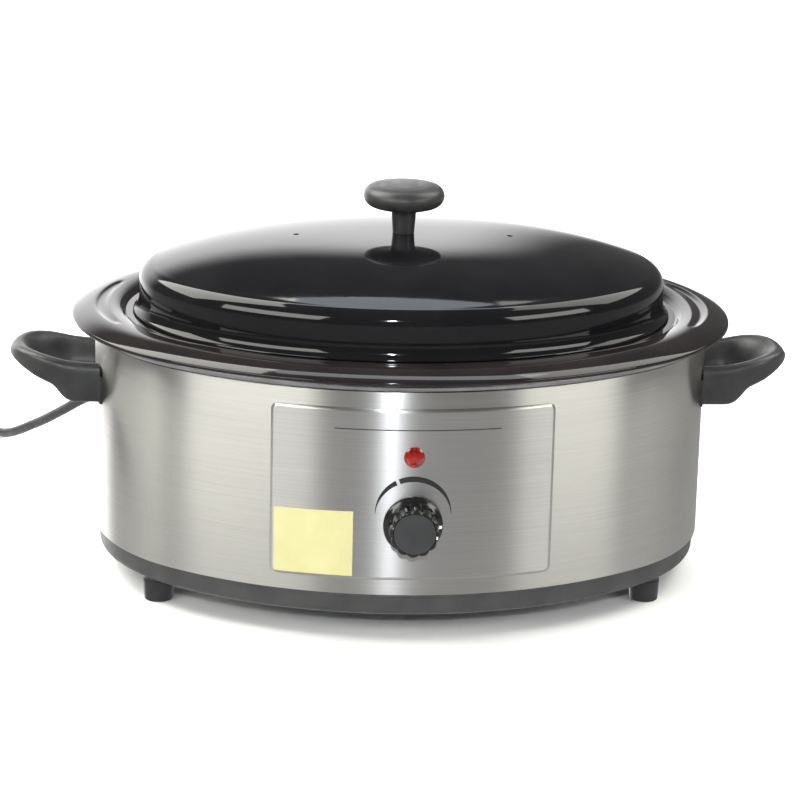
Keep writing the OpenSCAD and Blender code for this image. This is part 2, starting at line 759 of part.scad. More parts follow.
module plug_pins() color(zinc) plug_place() translate([0, 0, plug_l + 3]) {
    for (x = [-6.35, 6.35]) translate([x - 0.75, -6.6, 0]) cube([1.5, 6.3, 17.5]);
    translate([0, 8.4, 0]) cylinder(r = 2.38, h = 19);
    translate([0, 8.4, 19]) sphere(2.38);
}

outer_wrap();
control_plate();
base_pan();
liner();
insert_pan();
lid_shell();
lid_knob();
lid_knob_screw();
lid_knob_washer();
control_knob();
knob_cap();
knob_pointer();
thermostat_shaft();
thermostat_body();
thermostat_screws();
thermostat_bracket();
pilot_lens();
lamp_body();
lamp_clip();
heating_band();
band_terminals();
band_clamp_screws();
insulation_blanket();
heat_shield();
thermal_fuse();
fuse_clip();
lead_wires();
wire_connector();
earth_wire();
earth_screw();
tie_stud();
tie_nut();
left_handle();
right_handle();
handle_gaskets();
handle_screws();
handle_inserts();
feet();
foot_screws();
strain_relief();
power_cord();
cord_coil();
cord_tail();
cord_tie();
plug_body();
plug_pins();
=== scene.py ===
import json
import math

import bmesh
import bpy
from mathutils import Matrix, Vector, geometry


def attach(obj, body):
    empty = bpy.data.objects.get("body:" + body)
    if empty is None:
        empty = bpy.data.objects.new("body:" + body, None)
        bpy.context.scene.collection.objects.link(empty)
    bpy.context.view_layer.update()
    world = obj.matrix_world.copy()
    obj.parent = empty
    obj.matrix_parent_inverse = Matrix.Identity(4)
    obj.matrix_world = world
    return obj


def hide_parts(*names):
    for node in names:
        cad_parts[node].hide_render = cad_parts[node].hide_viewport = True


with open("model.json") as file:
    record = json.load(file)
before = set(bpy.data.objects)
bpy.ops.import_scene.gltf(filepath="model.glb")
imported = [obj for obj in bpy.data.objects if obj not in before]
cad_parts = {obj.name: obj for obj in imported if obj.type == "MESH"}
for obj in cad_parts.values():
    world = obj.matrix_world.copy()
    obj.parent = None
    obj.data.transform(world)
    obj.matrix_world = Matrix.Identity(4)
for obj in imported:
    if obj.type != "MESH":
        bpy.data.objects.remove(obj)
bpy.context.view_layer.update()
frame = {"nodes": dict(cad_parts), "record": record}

MM = 0.001
NODES = frame["nodes"]
scene = bpy.context.scene

# ---------------------------------------------------------------- camera
# Fitted to the photo's ovals, plate and feet. Places are in metres and the roll in radians.
CAMERA_AT = Vector((-0.1146, -1.7188, 0.6196))
CAMERA_AIM = Vector((0.0004, 0.0, 0.0979))
CAMERA_ROLL = 0.0240

camera_data = bpy.data.cameras.new("camera")
camera_data.lens = 139.9
camera_data.sensor_width = 36.0
camera_data.clip_end = 50.0
camera = bpy.data.objects.new("camera", camera_data)
camera.location = CAMERA_AT
aim = (CAMERA_AIM - CAMERA_AT).to_track_quat("-Z", "Y").to_matrix().to_4x4()
camera.matrix_world = Matrix.Translation(CAMERA_AT) @ aim @ Matrix.Rotation(CAMERA_ROLL, 4, "Z")
scene.collection.objects.link(camera)
scene.camera = camera
scene.view_settings.view_transform = "Standard"
scene.view_settings.look = "None"


# ---------------------------------------------------------------- materials
class Nodes:
    """A material's node tree, written one line a node."""

    def __init__(self, name):
        self.material = bpy.data.materials.new(name)
        self.material.use_nodes = True
        self.tree = self.material.node_tree
        self.shader = self.tree.nodes["Principled BSDF"]

    def add(self, kind, **values):
        node = self.tree.nodes.new(kind)
        for key, value in values.items():
            if hasattr(node, key):
                setattr(node, key, value)
            else:
                node.inputs[key.replace("_", " ")].default_value = value
        return node

    def link(self, a, b):
        self.tree.links.new(a, b)

    def put(self, **values):
        for key, value in values.items():
            self.shader.inputs[key.replace("_", " ")].default_value = value

    def coords(self, kind, scale):
        where = self.add("ShaderNodeTexCoord")
        mapping = self.add("ShaderNodeMapping", Scale=scale)
        self.link(where.outputs[kind], mapping.inputs["Vector"])
        return mapping.outputs["Vector"]

    def noise(self, vector, scale, detail=3.0, rough=0.55):
        node = self.add("ShaderNodeTexNoise", Scale=scale, Detail=detail, Roughness=rough)
        self.link(vector, node.inputs["Vector"])
        return node.outputs["Fac"]

    def ramp(self, value, low, high, out_low, out_high):
        node = self.add("ShaderNodeMapRange")
        for key, number in (("From Min", low), ("From Max", high), ("To Min", out_low), ("To Max", out_high)):
            node.inputs[key].default_value = number
        self.link(value, node.inputs["Value"])
        return node.outputs["Result"]

    def blend(self, factor, a, b):
        node = self.add("ShaderNodeMix", data_type="RGBA")
        node.inputs[6].default_value = (*a, 1)
        node.inputs[7].default_value = (*b, 1)
        self.link(factor, node.inputs[0])
        return node.outputs[2]

    def bump(self, value, strength, distance):
        node = self.add("ShaderNodeBump", Strength=strength, Distance=distance)
        self.link(value, node.inputs["Height"])
        self.link(node.outputs["Normal"], self.shader.inputs["Normal"])


def grained(name, dark, light, rough, grain, bump, metallic=0.0, spread=0.06, **extra):
    """Moulded, cast or plated stuff: mottled colour, uneven roughness and a fine grain."""
    n = Nodes(name)
    at = n.coords("Object", (1, 1, 1))
    cloud = n.noise(at, 60.0, 4.0)
    n.link(n.blend(n.ramp(cloud, 0.35, 0.65, 0, 1), dark, light), n.shader.inputs["Base Color"])
    n.link(n.ramp(n.noise(at, 210.0), 0.3, 0.7, rough - spread, rough + spread), n.shader.inputs["Roughness"])
    n.bump(n.noise(at, grain, 2.0), bump, 0.0002)
    n.put(Metallic=metallic, **extra)
    return n.material


def enamel(name, dark, light, speckle=0.0):
    """Fired black enamel: a deep gloss over a very slight orange peel, with a little dust."""
    n = Nodes(name)
    at = n.coords("Object", (1, 1, 1))
    n.link(n.blend(n.ramp(n.noise(at, 25.0), 0.35, 0.65, 0, 1), dark, light), n.shader.inputs["Base Color"])
    cloud = n.ramp(n.noise(at, 40.0, 5.0, 0.7), 0.3, 0.75, 0.035, 0.085)
    if speckle:
        dots = n.add("ShaderNodeTexVoronoi", Scale=340.0, Randomness=1.0)
        n.link(at, dots.inputs["Vector"])
        dust = n.ramp(dots.outputs["Distance"], 0.0, 0.055, speckle, 0.0)
        total = n.add("ShaderNodeMath", operation="ADD")
        n.link(cloud, total.inputs[0])
        n.link(dust, total.inputs[1])
        cloud = total.outputs[0]
    n.link(cloud, n.shader.inputs["Roughness"])
    n.bump(n.noise(at, 120.0, 2.0), 0.012, 0.001)
    n.put(IOR=1.52, Specular_IOR_Level=0.32)
    return n.material


def brushed(name, dark, light, rough):
    """Stainless sheet brushed along its length; UVs run in metres along and across the brushing."""
    n = Nodes(name)
    fine = n.noise(n.coords("UV", (22, 9000, 1)), 1.0, 2.0, 0.6)
    broad = n.noise(n.coords("UV", (9, 2600, 1)), 1.0, 3.0, 0.6)
    both = n.add("ShaderNodeMath", operation="ADD")
    n.link(fine, both.inputs[0])
    n.link(broad, both.inputs[1])
    cloud = n.noise(n.coords("UV", (9, 9, 1)), 1.0, 3.0)
    n.link(n.blend(n.ramp(both.outputs[0], 0.7, 1.3, 0, 1), dark, light), n.shader.inputs["Base Color"])
    n.link(n.ramp(cloud, 0.3, 0.7, rough - 0.02, rough + 0.02), n.shader.inputs["Roughness"])
    n.bump(both.outputs[0], 0.05, 0.00006)
    tangent = n.add("ShaderNodeTangent", direction_type="UV_MAP")
    n.link(tangent.outputs[0], n.shader.inputs["Tangent"])
    n.put(Metallic=1.0, Anisotropic=1.0, Anisotropic_Rotation=0.25)
    return n.material


PAINTS = {
    "brushed_wrap": brushed("brushed_wrap", (0.56, 0.55, 0.52), (0.70, 0.69, 0.655), 0.34),
    "brushed_plate": brushed("brushed_plate", (0.58, 0.57, 0.55), (0.72, 0.71, 0.685), 0.31),
    "base_enamel": grained("base_enamel", (0.040, 0.040, 0.042), (0.055, 0.054, 0.055),
                           0.42, 900, 0.10),
    "aluminised_liner": grained("aluminised_liner", (0.40, 0.40, 0.41), (0.55, 0.55, 0.55),
                                0.38, 700, 0.2, 1.0),
    "black_enamel": enamel("lid_enamel", (0.0045, 0.0045, 0.0055), (0.007, 0.007, 0.008), 0.5),
    "pan_enamel": enamel("pan_enamel", (0.0095, 0.0075, 0.008), (0.014, 0.011, 0.0115), 0.25),
    "black_phenolic": grained("black_phenolic", (0.018, 0.018, 0.019), (0.030, 0.030, 0.031),
                              0.40, 1500, 0.22),
    "zinc": grained("zinc", (0.50, 0.50, 0.52), (0.68, 0.68, 0.67), 0.30, 800, 0.1, 1.0),
    "gloss_black": grained("gloss_black", (0.008, 0.008, 0.008), (0.013, 0.013, 0.013),
                           0.13, 500, 0.03, spread=0.04),
    "cap_grey": grained("cap_grey", (0.022, 0.0225, 0.0245), (0.030, 0.0305, 0.033), 0.55, 1800, 0.25),
    "pointer_white": grained("pointer_white", (0.74, 0.74, 0.73), (0.86, 0.86, 0.85), 0.45, 900, 0.1),
    "brass": grained("brass", (0.55, 0.41, 0.18), (0.74, 0.58, 0.30), 0.30, 800, 0.1, 1.0),
    "ceramic": grained("ceramic", (0.70, 0.66, 0.57), (0.80, 0.77, 0.68), 0.35, 600, 0.15),
    "red_lens": grained("red_lens", (0.10, 0.003, 0.003), (0.30, 0.010, 0.007),
                        0.06, 300, 0.05, spread=0.03, Coat_Weight=1.0, Coat_Roughness=0.03),
    "lamp_white": grained("lamp_white", (0.74, 0.74, 0.70), (0.84, 0.84, 0.80), 0.4, 600, 0.1),
    "mica_band": grained("mica_band", (0.46, 0.42, 0.34), (0.66, 0.61, 0.50), 0.45, 400, 0.4, 1.0),
    "glass_fibre": grained("glass_fibre", (0.66, 0.62, 0.48), (0.86, 0.83, 0.72), 0.95, 320, 1.0),
    "aluminium_sheet": grained("aluminium_sheet", (0.62, 0.63, 0.65), (0.78, 0.79, 0.80),
                               0.33, 500, 0.15, 1.0),
    "wire_black": grained("wire_black", (0.03, 0.03, 0.033), (0.05, 0.05, 0.055), 0.6, 1500, 0.4),
    "wire_green": grained("wire_green", (0.03, 0.16, 0.05), (0.06, 0.24, 0.08), 0.6, 1500, 0.4),
    "gasket_black": grained("gasket_black", (0.010, 0.010, 0.010), (0.018, 0.018, 0.018),
                            0.6, 900, 0.3),
    "cord_grey": grained("cord_grey", (0.022, 0.023, 0.027), (0.034, 0.035, 0.040), 0.48, 700, 0.3),
    "plug_black": grained("plug_black", (0.020, 0.020, 0.021), (0.032, 0.032, 0.033), 0.45, 1300, 0.35),
}
PRINT = grained("print_ink", (0.010, 0.010, 0.013), (0.018, 0.018, 0.021), 0.6, 1200, 0.2)
LABEL = grained("label_paper", (0.50, 0.468, 0.225), (0.54, 0.505, 0.255), 0.55, 1500, 0.25)

# Every carried-over CAD piece takes the finish of its record slot.
for part in frame["record"]["subparts"]:
    node = NODES[part["node"]]
    node.data.materials.clear()
    node.data.materials.append(PAINTS[part["material_slot"]])


# ---------------------------------------------------------------- mesh building
def finish_mesh(name, verts, faces, uvs, material, body, sharp):
    """An object from points in millimetres; edges sharper than `sharp` degrees stay crisp."""
    mesh = bpy.data.meshes.new(name)
    mesh.from_pydata([[c * MM for c in v] for v in verts], [], faces)
    if uvs:
        layer = mesh.uv_layers.new(name="UVMap")
        layer.data.foreach_set("uv", [c for uv in uvs for c in uv])
    work = bmesh.new()
    work.from_mesh(mesh)
    bmesh.ops.remove_doubles(work, verts=work.verts, dist=2e-6)
    bmesh.ops.recalc_face_normals(work, faces=work.faces)
    work.to_mesh(mesh)
    work.free()
    mesh.polygons.foreach_set("use_smooth", [True] * len(mesh.polygons))
    mesh.set_sharp_from_angle(angle=math.radians(sharp))
    mesh.materials.append(material)
    obj = bpy.data.objects.new(name, mesh)
    scene.collection.objects.link(obj)
    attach(obj, body)
    return obj


def grid(rows, loop_rows=False, loop_cols=False, caps=False, u=None, v=None):
    """Vertices, faces and UVs of rows of points; either way may close on itself."""
    n, m = len(rows), len(rows[0])
    verts = [p for row in rows for p in row]
    u = u or [i * 0.01 for i in range(n + 1)]
    v = v or [k * 0.01 for k in range(m + 1)]
    faces, uvs = [], []
    for i in range(n if loop_rows else n - 1):
        for k in range(m if loop_cols else m - 1):
            j, l = (i + 1) % n, (k + 1) % m
            faces.append((i * m + k, j * m + k, j * m + l, i * m + l))
            uvs += [(u[i], v[k]), (u[i + 1], v[k]), (u[i + 1], v[k + 1]), (u[i], v[k + 1])]
    if caps:
        ends = [range(m), range((n - 1) * m, n * m)] if loop_cols else [
            range(0, n * m, m), range(m - 1, n * m, m)]
        for end in ends:
            faces.append(tuple(end))
            uvs += [(verts[i][0] * MM, verts[i][1] * MM) for i in end]
    return verts, faces, uvs


def merged(parts):
    """Several (vertices, faces, UVs) as one."""
    verts, faces, uvs = [], [], []
    for v, f, t in parts:
        faces += [tuple(i + len(verts) for i in face) for face in f]
        verts += v
        uvs += t
    return verts, faces, uvs


def build(name, parts, material, body="housing", sharp=32, replaces=()):
    """A visible piece that rides on a body and may stand for CAD nodes."""
    obj = finish_mesh(name, *merged(parts), material, body, sharp)
    if replaces:
        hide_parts(*replaces)
    return obj


def moved(part, matrix):
    verts, faces, uvs = part
    return [tuple(matrix @ Vector(v)) for v in verts], faces, uvs


def arc2(cx, cy, r, a0, a1, n):
    """Points of an arc from a0 to a1 degrees."""
    step = [math.radians(a0 + (a1 - a0) * i / n) for i in range(n + 1)]
    return [(cx + r * math.cos(a), cy + r * math.sin(a)) for a in step]


def rounded(points, radii, closed=True, n=5):
    """A polyline with its corners rounded; radii is one number or one for each corner."""
    count = len(points)
    radii = [radii] * count if isinstance(radii, (int, float)) else radii
    out = []
    for i, p in enumerate(points):
        if not closed and i in (0, count - 1) or radii[i] <= 0:
            out.append(tuple(p))
            continue
        p = Vector(p)
        a, b = Vector(points[i - 1]) - p, Vector(points[(i + 1) % count]) - p
        half = a.angle(b) / 2
        back = min(radii[i] / math.tan(half), 0.48 * a.length, 0.48 * b.length)
        start, end = p + a.normalized() * back, p + b.normalized() * back
        for k in range(n + 1):
            t = k / n
            out.append(tuple(start * (1 - t) ** 2 + p * 2 * t * (1 - t) + end * t * t))
    return out


def sheet_outline(path, t):
    """Both sides of a sheet of thickness t that lies to the left of a path, with rounded edges."""
    pts = [Vector(p) for p in path]
    normals = []
    for i in range(len(pts)):
        sides = []
        for a, b in ((i - 1, i), (i, i + 1)):
            if 0 <= a and b < len(pts):
                d = (pts[b] - pts[a]).normalized()
                sides.append(Vector((-d.y, d.x)))
        n = sum(sides, Vector((0, 0))) / len(sides)
        normals.append(n / max(n.length_squared, 0.25))
    other = [p + n * t for p, n in zip(pts, normals)]
    mid = [(pts[i] + other[i]) / 2 for i in (0, -1)]
    out0 = (pts[0] - pts[1]).normalized() * t * 0.35
    out1 = (pts[-1] - pts[-2]).normalized() * t * 0.35
    return [tuple(p) for p in [*pts, mid[1] + out1, *reversed(other), mid[0] + out0]]


# ---------------------------------------------------------------- the oval
# Two end arcs and two flatter side arcs, as in the CAD, which meet tangentially.
END_X, SIDE_Y, END_R, SIDE_R = 63.0, 84.0, 112.0, 217.0
JOIN = math.degrees(math.atan2(4, 3))
HALF_L, HALF_W = 175.0, 133.0
PLATE_T = 1.2


def oval_stations(n_end=84, n_side=64):
    """(centre x, centre y, radius, angle, distance) round the oval from its rear, leftwards."""
    spans = [
        (0, -SIDE_Y, SIDE_R, 90, 180 - JOIN, n_side // 2),
        (-END_X, 0, END_R, 180 - JOIN, 180 + JOIN, n_end),
        (0, SIDE_Y, SIDE_R, 180 + JOIN, 360 - JOIN, n_side),
        (END_X, 0, END_R, 360 - JOIN, 360 + JOIN, n_end),
        (0, -SIDE_Y, SIDE_R, 360 + JOIN, 450, n_side // 2)]
    out, gone = [], 0.0
    for cx, cy, r, a0, a1, n in spans:
        for i in range(n):
            a = math.radians(a0 + (a1 - a0) * i / n)
            out.append((cx, cy, r, a, gone + r * math.radians(a1 - a0) * i / n))
        gone += r * math.radians(a1 - a0)
    return out, gone


OVAL, GIRTH = oval_stations()


def at_station(station, offset, z):
    """A point outside the wrap by an offset, at a station of the oval."""
    cx, cy, r, a, _ = station
    return (cx + (r + offset) * math.cos(a), cy + (r + offset) * math.sin(a), z)


def oval_sweep(profile, caps=False, closed=True):
    """A section of (distance outside the wrap, height) carried round the oval."""
    rows = []
    for s in OVAL:
        section = profile(s) if callable(profile) else profile
        rows.append([at_station(s, o, z) for o, z in section])
    section = profile(OVAL[0]) if callable(profile) else profile
    run, v = 0.0, [0.0]
    for a, b in zip(section, [*section[1:], section[0]]):
        run += math.dist(a, b) * MM
        v.append(run)
    u = [s[4] * MM for s in OVAL] + [GIRTH * MM]
    return grid(rows, loop_rows=True, loop_cols=closed, caps=caps and not closed, u=u, v=v)


def on_side(x, offset, z):
    """A point on the front of the drum, offset outside the wrap."""
    return (x, SIDE_Y - math.sqrt((SIDE_R + offset) ** 2 - x * x), z)


def lathe(profile, segments=96, wave=None):
    """(radius, height) turned round Z; wave may change a radius by angle and height."""
    rows = []
    for i in range(segments):
        a = 2 * math.pi * i / segments
        spots = [(wave(r, a, z) if wave else r, z) for r, z in profile]
        rows.append([(r * math.cos(a), r * math.sin(a), z) for r, z in spots])
    return grid(rows, loop_rows=True)


def frontwards(z):
    """Turns local +Z to point out of the plate, from a height on the front's axis."""
    return Matrix.Translation((0, -HALF_W - PLATE_T, z)) @ Matrix.Rotation(math.pi / 2, 4, "X")


# ---------------------------------------------------------------- cord
OUT_A = math.radians(140)
OUT_DIR = Vector((math.cos(OUT_A), math.sin(OUT_A), 0))
OUT_WALL = Vector((-END_X, 0, 72)) + END_R * OUT_DIR
ROUTE = [
    (-169, 89, 72), (-176.5, 97.5, 70.5), (-184, 107.5, 66), (-191, 118.5, 59.5),
    (-198, 130.5, 52), (-205.5, 144, 44), (-213.5, 159, 35.5), (-222, 175.5, 27),
    (-230.5, 194, 18), (-238, 212, 10.5), (-244, 226, 6), (-249.3, 239, 3.7),
    (-254.4, 253, 3.05)]
TAIL = [(-328.6, 239, 10.2), (-329.8, 230.5, 12), (-330.8, 222, 13.3), (-331, 215.4, 13.5)]
COIL = Vector((-294, 254, 0))


def ease(t):
    """Smoothstep from 0 to 1, held outside."""
    t = min(max(t, 0.0), 1.0)
    return t * t * (3 - 2 * t)


def coil_point(turned):
    """Two turns side by side on the worktop and the last half turn on top of them."""
    inward = ease((turned - 270) / 114)
    over = ease((turned - 545) / 95)
    r = 37 - 6 * inward + 3 * over ** 1.6
    a = math.radians(turned)
    return (COIL.x + r * math.cos(a), COIL.y + r * math.sin(a), 3.02 + 6 * over)


coil = [coil_point(20 + 856 * i / 40) for i in range(41)]
cord_line = [tuple(OUT_WALL - 6.5 * OUT_DIR), tuple(OUT_WALL + 9 * OUT_DIR), *ROUTE, *coil,
             (-328, 254.3, 9.02), *TAIL]
curve = bpy.data.curves.new("mains_lead", "CURVE")
curve.dimensions = "3D"
curve.resolution_u = 10
curve.bevel_depth = 0.003
curve.bevel_resolution = 5
curve.use_fill_caps = True
spline = curve.splines.new("BEZIER")
spline.bezier_points.add(len(cord_line) - 1)
for point, place in zip(spline.bezier_points, cord_line):
    point.co = [c * MM for c in place]
    point.handle_left_type = point.handle_right_type = "AUTO"
curve.materials.append(PAINTS["cord_grey"])
lead = bpy.data.objects.new("mains_lead", curve)
scene.collection.objects.link(lead)
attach(lead, "housing")
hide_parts("power_cord", "cord_coil", "cord_tail")


# The strain relief: a grommet in the wall and a ribbed, tapered sleeve.
sleeve = [(3.05, 27), (4.2, 27), (4.3, 26.6)]
for i in range(7):
    z = 24.6 - i * 3.0
    r = 4.25 + (24.6 - z) * 0.062
    sleeve += [(r + 0.35, z + 1.0), (r + 0.42, z + 0.4), (r + 0.42, z - 0.5), (r + 0.35, z - 0.8),
               (r - 0.35, z - 1.0), (r - 0.35, z - 1.7)]
sleeve += [(5.6, 3.4), (7.4, 3.1), (7.9, 2.7), (8.0, 2.2), (8.0, 0.9), (7.6, 0.25), (5.45, 0.2), (5.4, -1.0),
           (5.9, -1.2), (7.2, -1.6), (7.4, -2.0), (7.4, -4.6), (7.0, -5.0), (3.05, -5.0)]
relief_place = (Matrix.Translation(OUT_WALL) @ Matrix.Rotation(OUT_A, 4, "Z")
                @ Matrix.Rotation(math.pi / 2, 4, "Y"))
relief = build("cord_strain_relief", [moved(lathe(sleeve + [sleeve[0]], 48), relief_place)],
               PAINTS["cord_grey"], replaces=["strain_relief"], sharp=40)


def rounded_box_loop(w, h, r, z, n=8):
    """A rounded rectangle about Z at a height."""
    out = []
    dx, dy = w / 2 - r, h / 2 - r
    for cx, cy, a0 in ((dx, dy, 0), (-dx, dy, 90), (-dx, -dy, 180), (dx, -dy, 270)):
        out += [(x, y, z) for x, y in arc2(cx, cy, r, a0, a0 + 90, n)]
    return out


# The plug: a ribbed boot, a moulded body with finger dimples and a face flange.
plug_place = Matrix.Translation((-331, 206, 13.5)) @ Matrix.Rotation(math.pi / 2, 4, "X")
boot = []
for i in range(25):
    t = i / 24
    r = 4.6 + 2.9 * t + (0.35 if i % 4 in (1, 2) else -0.15)
    boot.append([(r * math.cos(a), r * math.sin(a), -20 + 20 * t)
                 for a in (2 * math.pi * k / 36 for k in range(36))])
boot_part = grid(boot, loop_cols=True, caps=True)
body_rows = [rounded_box_loop(15, 15, 7.2, -0.6), rounded_box_loop(22, 19, 8, 0.3),
             rounded_box_loop(26, 22.4, 8, 2.2)]
for i in range(13):
    t = i / 12
    pinch = 3.4 * math.sin(math.pi * t) ** 2
    body_rows.append(rounded_box_loop(28 - pinch, 24 - 0.4 * pinch, 7 + pinch * 0.2, 4.5 + 22.5 * t))
body_rows += [rounded_box_loop(28, 24, 7, 29.2), rounded_box_loop(29.6, 25.6, 7.4, 30),
              rounded_box_loop(31, 27, 8, 30.8), rounded_box_loop(31, 27, 8, 32.5),
              rounded_box_loop(30.2, 26.2, 7.8, 33)]
body_part = grid(body_rows, loop_cols=True, caps=True)
plug = build("lead_plug", [moved(boot_part, plug_place), moved(body_part, plug_place)],
             PAINTS["plug_black"], replaces=["plug_body"], sharp=40)

# The tie: a flat strap with rounded edges round the coil's bundle.
tie_arch = rounded([(-7.4, 0.02), (-7.2, 7.5), (-3.6, 13.3), (3.6, 13.3), (7.4, 7.5), (7.6, 0.02)],
                   [0, 4, 3.5, 3.5, 4, 0], closed=False, n=6)
tie_rows = []
for dy, dz in tie_arch:
    up = Vector((dy, dz - 5)).normalized()
    strip = [(-4, 0), (-3.7, 0.35), (3.7, 0.35), (4, 0), (3.7, -0.35), (-3.7, -0.35)]
    tie_rows.append([(COIL.x + x, COIL.y + 34 + dy + up.x * o, max(dz + up.y * o, 0.0))
                     for x, o in strip])
tie = build("lead_tie", [grid(tie_rows, loop_cols=True, caps=True)], PAINTS["gasket_black"],
            replaces=["cord_tie"], sharp=40)

# ---------------------------------------------------------------- drum
WRAP_Z, WRAP_TOP = 27.0, 142.3
wrap_section = rounded([(-0.8, WRAP_Z), (0, WRAP_Z), (0, WRAP_TOP), (-0.8, WRAP_TOP)], 0.36, n=3)
build("brushed_wrap", [oval_sweep(wrap_section)], PAINTS["brushed_wrap"], replaces=["outer_wrap"])

# The wrap's lap seam stands down the middle of the rear.
seam_rows = []
for i in range(15):
    x = -7 + i
    y = -SIDE_Y + math.sqrt(SIDE_R ** 2 - x * x)
    lift = 0.6 if 0 < i < 14 else 0.35
    seam_rows.append([(x, y - 0.3, 27.5), (x, y + lift, 27.8), (x, y + lift, 141.7), (x, y - 0.3, 142)])
seam_v = [0, 0.0275, 0.1417, 0.1424, 0.15]
build("wrap_seam", [grid(seam_rows, u=[i * MM for i in range(16)], v=seam_v)], PAINTS["brushed_wrap"],
      sharp=50)


def plate_patch(outline, edge, step=2.5):
    """A thin patch on the drum's front: outline in (x, z), edge as (inset, offset) pairs."""
    count = len(outline)
    rings = []
    for inset, offset in edge:
        ring = []
        for i, p in enumerate(outline):
            a, b = Vector(outline[i - 1]), Vector(outline[(i + 1) % count])
            d = (b - a).normalized()
            inward = Vector((-d.y, d.x))
            ring.append(tuple(Vector(p) + inward * inset))
        rings.append((ring, offset))
    rows = [[on_side(x, offset, z) for x, z in ring] for ring, offset in rings]
    side = grid(rows, loop_cols=True)
    flat = rings[-1][0]
    xs = [p[0] for p in flat]
    zs = [p[1] for p in flat]
    inside = []
    x = min(xs) + step
    while x < max(xs) - step * 0.5:
        z = min(zs) + step * 2
        while z < max(zs) - step:
            if point_in((x, z), flat, step * 0.4):
                inside.append((x, z))
            z += step * 3
        x += step
    edges = [(i, (i + 1) % count) for i in range(count)]
    got = geometry.delaunay_2d_cdt([Vector(p) for p in flat + inside], edges, [], 1, 1e-4)
    points, tiles = got[0], got[2]
    verts = [on_side(p.x, rings[-1][1], p.y) for p in points]
    uvs = [(points[i].x * MM, points[i].y * MM) for face in tiles for i in face]
    top = (verts, [tuple(face) for face in tiles], uvs)
    back = (rows[0], [tuple(range(count))], [(0, 0)] * count)
    wide = [(p[0] * MM, p[2] * MM) for p in rows[0]]
    side_uvs = []
    for i in range(len(rows) - 1):
        for k in range(count):
            j = (k + 1) % count
            side_uvs += [wide[k], wide[k], wide[j], wide[j]]
    return [(side[0], side[1], side_uvs), top, back]


def point_in(p, polygon, margin):
    """Whether a point is inside a polygon and clear of its corners."""
    hit = False
    for (x0, y0), (x1, y1) in zip(polygon, [*polygon[1:], polygon[0]]):
        if (y0 > p[1]) != (y1 > p[1]) and p[0] < (x1 - x0) * (p[1] - y0) / (y1 - y0) + x0:
            hit = not hit
        if math.dist(p, (x0, y0)) < margin:
            return False
    return hit


def rounded_outline(x0, x1, z0, z1, r, n=8, pieces=14):
    """A rounded rectangle, anticlockwise, with its long sides split so that they bend with the drum."""
    out = []
    for cx, cz, a0 in ((x1 - r, z1 - r, 0), (x0 + r, z1 - r, 90), (x0 + r, z0 + r, 180), (x1 - r, z0 + r, 270)):
        out += arc2(cx, cz, r, a0, a0 + 90, n)
        if a0 in (0, 180):
            a, b = (x1 - r, x0 + r) if a0 == 0 else (x0 + r, x1 - r)
            out += [(a + (b - a) * i / pieces, z1 if a0 == 0 else z0) for i in range(1, pieces)]
    return out


plate_edge = [(0, 0.02), (0, 0.3), (0.35, 0.62), (1.0, 0.98), (1.6, PLATE_T), (1.95, PLATE_T)]
plate = plate_patch(rounded_outline(-77, 77, 36, 133, 4, pieces=60), plate_edge)
build("brushed_plate", plate, PAINTS["brushed_plate"], replaces=["control_plate"],
      sharp=25)

base_path = [(-63, 14), *arc2(-6.5, 18.5, 4.5, -90, 0, 8), (-2, 25.4), (-0.5, 25.7), (-0.4, 26.2),
             (-0.4, 26.9), (-2.2, 27.0), (-2.2, 33)]
base_in = [(-3.1, 33), (-3.1, 19), (-4.5, 16.4), (-7, 15), (-63, 15)]
build("base_shell", [oval_sweep(base_path + base_in)], PAINTS["base_enamel"],
      sharp=28, replaces=["base_pan"])

# The base's floor, with two rows of vent slots and a fixing hole in its middle.
floor_ring = [at_station(s, -62.9, 14)[:2] for s in OVAL]
FLOOR_LOW, FLOOR_HIGH = 14, 15
floor_sheet = grid([[(x, y, z) for x, y in floor_ring] for z in (FLOOR_LOW, FLOOR_HIGH)],
                   loop_cols=True, caps=True)
base_floor = build("base_floor", [floor_sheet], PAINTS["base_enamel"])


def cut(obj, parts):
    """Cuts closed shapes out of a piece and applies the cut."""
    cutter = finish_mesh("cutter", *merged(parts), PAINTS["zinc"], "housing", 30)
    modifier = obj.modifiers.new("cut", "BOOLEAN")
    modifier.operation = "DIFFERENCE"
    modifier.solver = "EXACT"
    modifier.object = cutter
    bpy.context.view_layer.update()
    mesh = bpy.data.meshes.new_from_object(obj.evaluated_get(bpy.context.evaluated_depsgraph_get()))
    obj.modifiers.clear()
    obj.data = mesh
    mesh.name = obj.name
    mesh.set_sharp_from_angle(angle=math.radians(40))
    bpy.data.objects.remove(cutter)


def prism(outline, z0, z1):
    return grid([[(x, y, z) for x, y in outline] for z in (z0, z1)], loop_cols=True, caps=True)


def circle(cx, cy, r, n=24):
    return arc2(cx, cy, r, 0, 360, n)[:-1]


slots = [prism(arc2(x, y + 9, 2.2, 0, 180, 8) + arc2(x, y - 9, 2.2, 180, 360, 8), 13, 16)
         for x in range(-84, 85, 24) for y in (-34, 34)]
cut(base_floor, slots + [prism(circle(0, 0, 3.3), 13, 16)])

# ---------------------------------------------------------------- liner
SEAT_Z, LEDGE_Z = 150.7, 152.0
lip = arc2(0.9, 145.3, 2.1, -150, 70, 10)
seat = rounded([(1.6, 147.3), (-5, SEAT_Z), (-20, SEAT_Z), (-22.5, 148.2), (-22.5, 120)],
               [0, 2, 1.2, 1.2, 0], closed=False, n=4)[1:]
liner_path = [*lip, *seat, *arc2(-42.5, 58, 20, 0, -90, 10), (-60, 38)]


